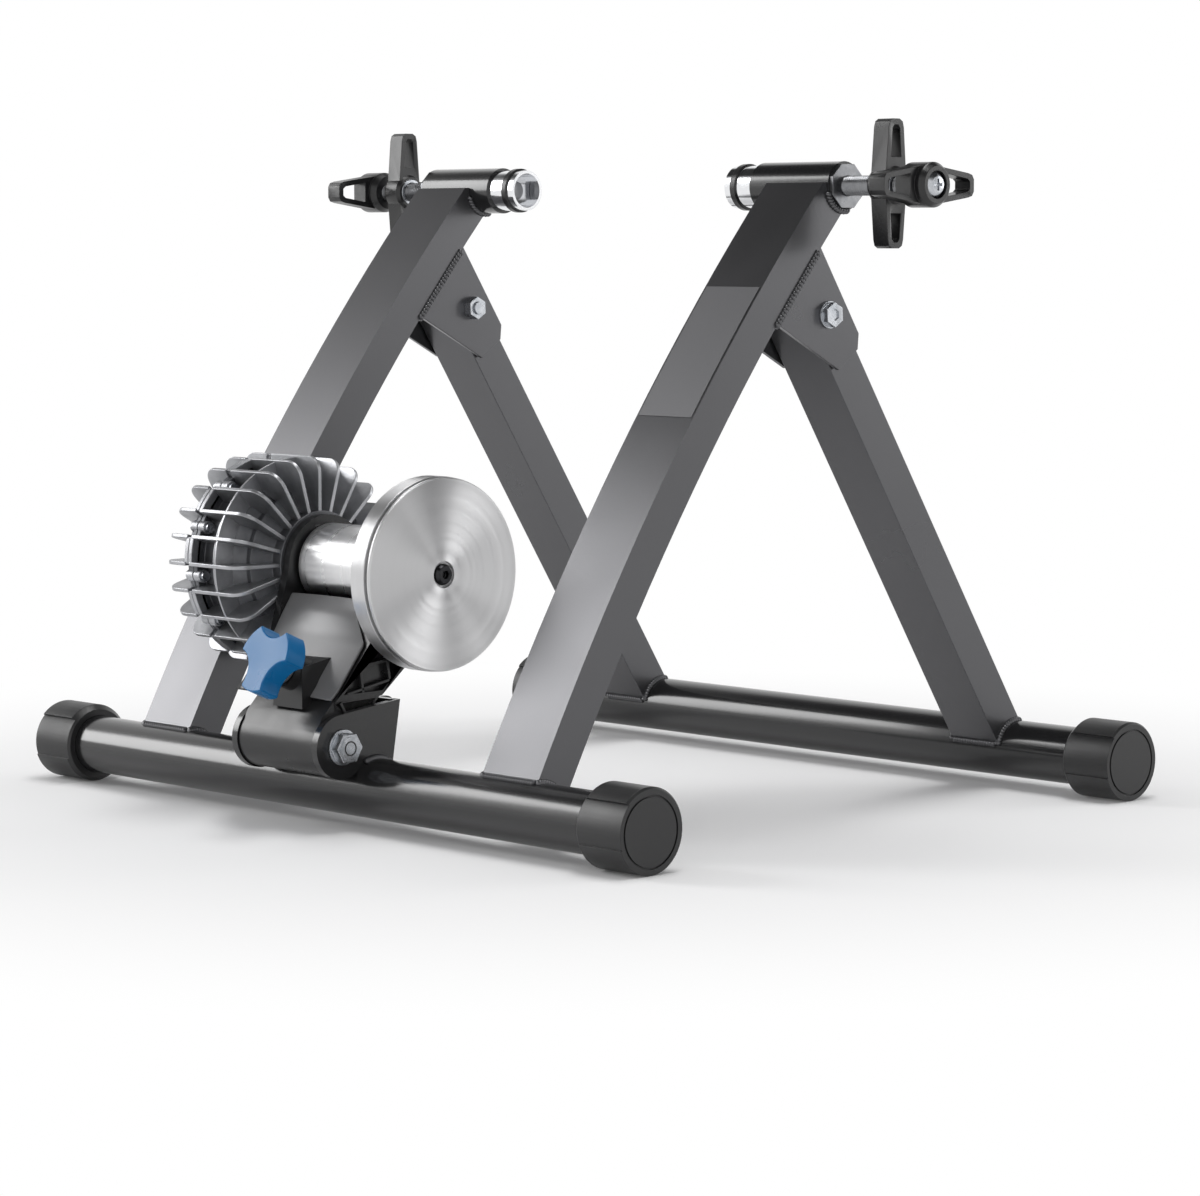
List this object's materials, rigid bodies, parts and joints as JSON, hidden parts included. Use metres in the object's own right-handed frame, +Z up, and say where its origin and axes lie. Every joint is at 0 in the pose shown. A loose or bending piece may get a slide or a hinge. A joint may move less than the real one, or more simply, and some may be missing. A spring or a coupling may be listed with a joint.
{
  "type": "bike trainer",
  "caption": "Folding rear-wheel bike trainer: curved steel uprights, screw clamps for the wheel axle, and a tilting finned fluid resistance unit with roller and flywheel.",
  "frame": {"origin": "on the floor, under the middle of the bounding box", "axes": "+X along the wheel axle to the flywheel side, +Y from the roller tube to the folding rear frame, +Z up"},
  "size_m": [0.546, 0.4998, 0.416],
  "materials": {
    "frame_steel": "satin",
    "zinc": "satin",
    "cup_chrome": "polished",
    "cap_rubber": "matte",
    "black_plastic": "matte",
    "cover_grey": "satin",
    "cast_aluminium": "cast",
    "turned_aluminium": "turned",
    "turned_steel": "turned",
    "bearing_steel": "ground",
    "knob_blue": "gloss",
    "bush_plastic": "matte"
  },
  "bodies": {
    "frame": {"front_tube": "frame_steel", "upright_r": "frame_steel", "upright_l": "frame_steel", "sleeve_r": "frame_steel", "sleeve_l": "frame_steel", "sleeve_nut_r": "zinc", "sleeve_nut_l": "zinc", "hinge_bracket_r": "frame_steel", "hinge_bracket_l": "frame_steel", "hinge_bolt_r": "zinc", "hinge_bolt_l": "zinc", "hinge_nut_r": "zinc", "hinge_nut_l": "zinc", "base_bracket": "frame_steel", "pivot_bolt": "zinc", "pivot_nut": "zinc"},
    "rear_frame": {"rear_tube": "frame_steel", "leg_r": "frame_steel", "leg_l": "frame_steel", "leg_bush_r": "bush_plastic", "leg_bush_l": "bush_plastic"},
    "foot_front_r": {"cap_front_r": "cap_rubber"},
    "foot_front_l": {"cap_front_l": "cap_rubber"},
    "foot_rear_r": {"cap_rear_r": "cap_rubber"},
    "foot_rear_l": {"cap_rear_l": "cap_rubber"},
    "cup_body_r": {"cup_r": "cup_chrome", "cup_ring_r": "black_plastic"},
    "rod_body_r": {"rod_r": "zinc", "handle_r": "black_plastic", "handle_screw_r": "zinc"},
    "insert_body_r": {"lock_insert_r": "zinc"},
    "wing_body_r": {"lock_wing_r": "black_plastic"},
    "cup_body_l": {"cup_l": "cup_chrome", "cup_ring_l": "black_plastic"},
    "rod_body_l": {"rod_l": "zinc", "handle_l": "black_plastic", "handle_screw_l": "zinc"},
    "insert_body_l": {"lock_insert_l": "zinc"},
    "wing_body_l": {"lock_wing_l": "black_plastic"},
    "unit": {"swing_arm": "black_plastic", "arm_cover": "cover_grey", "casing_inner": "cast_aluminium", "casing_outer": "cast_aluminium", "casing_screws": "zinc", "bearing_outer": "bearing_steel", "bearing_inner": "bearing_steel", "arm_bearing": "bearing_steel"},
    "rotor": {"shaft": "bearing_steel", "impeller": "cast_aluminium", "roller": "turned_aluminium", "flywheel": "turned_steel", "flywheel_bolt": "zinc"},
    "nut_body": {"barrel_nut": "zinc"},
    "washer_body": {"thrust_washer": "zinc"},
    "knob_body": {"tension_screw": "zinc", "tension_knob": "knob_blue"}
  },
  "joints": [
    {"name": "rear_fold", "type": "hinge", "parent": "frame", "child": "rear_frame", "pos_m": [0, 0.04543, 0.3007], "axis": [1, 0, 0], "range_deg": [-65, 0]},
    {"name": "foot_front_turn_r", "type": "hinge", "parent": "frame", "child": "foot_front_r", "pos_m": [0.255, -0.18612, 0.024], "axis": [1, 0, 0], "continuous": true},
    {"name": "foot_front_turn_l", "type": "hinge", "parent": "frame", "child": "foot_front_l", "pos_m": [-0.255, -0.18612, 0.024], "axis": [1, 0, 0], "continuous": true},
    {"name": "foot_rear_turn_r", "type": "hinge", "parent": "rear_frame", "child": "foot_rear_r", "pos_m": [0.255, 0.22488, 0.024], "axis": [1, 0, 0], "continuous": true},
    {"name": "foot_rear_turn_l", "type": "hinge", "parent": "rear_frame", "child": "foot_rear_l", "pos_m": [-0.255, 0.22488, 0.024], "axis": [1, 0, 0], "continuous": true},
    {"name": "clamp_slide_r", "type": "slide", "parent": "frame", "child": "cup_body_r", "axis": [-1, 0, 0], "range_m": [-0.002, 0.012]},
    {"name": "handle_turn_r", "type": "hinge", "parent": "cup_body_r", "child": "rod_body_r", "pos_m": [0.248, 0.05791, 0.377], "axis": [-1, 0, 0], "range_deg": [-405, 2460]},
    {"name": "lock_slide_r", "type": "slide", "parent": "rod_body_r", "child": "insert_body_r", "axis": [-1, 0, 0], "range_m": [-0.005, 0.0115]},
    {"name": "lock_turn_r", "type": "hinge", "parent": "insert_body_r", "child": "wing_body_r", "pos_m": [0.22, 0.05791, 0.377], "axis": [-1, 0, 0], "range_deg": [-1020, 2360]},
    {"name": "clamp_slide_l", "type": "slide", "parent": "frame", "child": "cup_body_l", "axis": [1, 0, 0], "range_m": [-0.002, 0.012]},
    {"name": "handle_turn_l", "type": "hinge", "parent": "cup_body_l", "child": "rod_body_l", "pos_m": [-0.248, 0.05791, 0.377], "axis": [1, 0, 0], "range_deg": [-405, 2460]},
    {"name": "lock_slide_l", "type": "slide", "parent": "rod_body_l", "child": "insert_body_l", "axis": [1, 0, 0], "range_m": [-0.005, 0.0115]},
    {"name": "lock_turn_l", "type": "hinge", "parent": "insert_body_l", "child": "wing_body_l", "pos_m": [-0.22, 0.05791, 0.377], "axis": [1, 0, 0], "range_deg": [-1020, 2360]},
    {"name": "unit_tilt", "type": "hinge", "parent": "frame", "child": "unit", "pos_m": [0, -0.21164, 0.05052], "axis": [1, 0, 0], "range_deg": [0, 12]},
    {"name": "roller_spin", "type": "hinge", "parent": "unit", "child": "rotor", "pos_m": [0, -0.14662, 0.1487], "axis": [1, 0, 0], "continuous": true},
    {"name": "nut_swing", "type": "hinge", "parent": "frame", "child": "nut_body", "pos_m": [0.0035, -0.16253, 0.06782], "axis": [1, 0, 0], "range_deg": [-0.3, 5.8]},
    {"name": "knob_travel", "type": "slide", "parent": "nut_body", "child": "washer_body", "axis": [0, -0.9135, 0.4067], "range_m": [-0.0001, 0.0075]},
    {"name": "knob_turn", "type": "hinge", "parent": "washer_body", "child": "knob_body", "pos_m": [0.0035, -0.24114, 0.10282], "axis": [0, -0.9135, 0.4067], "range_deg": [-30, 2200]}
  ],
  "couplings": [
    {"joint": "clamp_slide_r", "follows": "handle_turn_r", "m_per_rad": 0.00027852},
    {"joint": "lock_slide_r", "follows": "lock_turn_r", "m_per_rad": 0.00027852},
    {"joint": "clamp_slide_l", "follows": "handle_turn_l", "m_per_rad": 0.00027852},
    {"joint": "lock_slide_l", "follows": "lock_turn_l", "m_per_rad": 0.00027852},
    {"joint": "nut_swing", "follows": "unit_tilt", "ratio": 0.452},
    {"joint": "knob_travel", "follows": "unit_tilt", "m_per_rad": 0.0352},
    {"joint": "knob_turn", "follows": "unit_tilt", "ratio": 176.93}
  ]
}
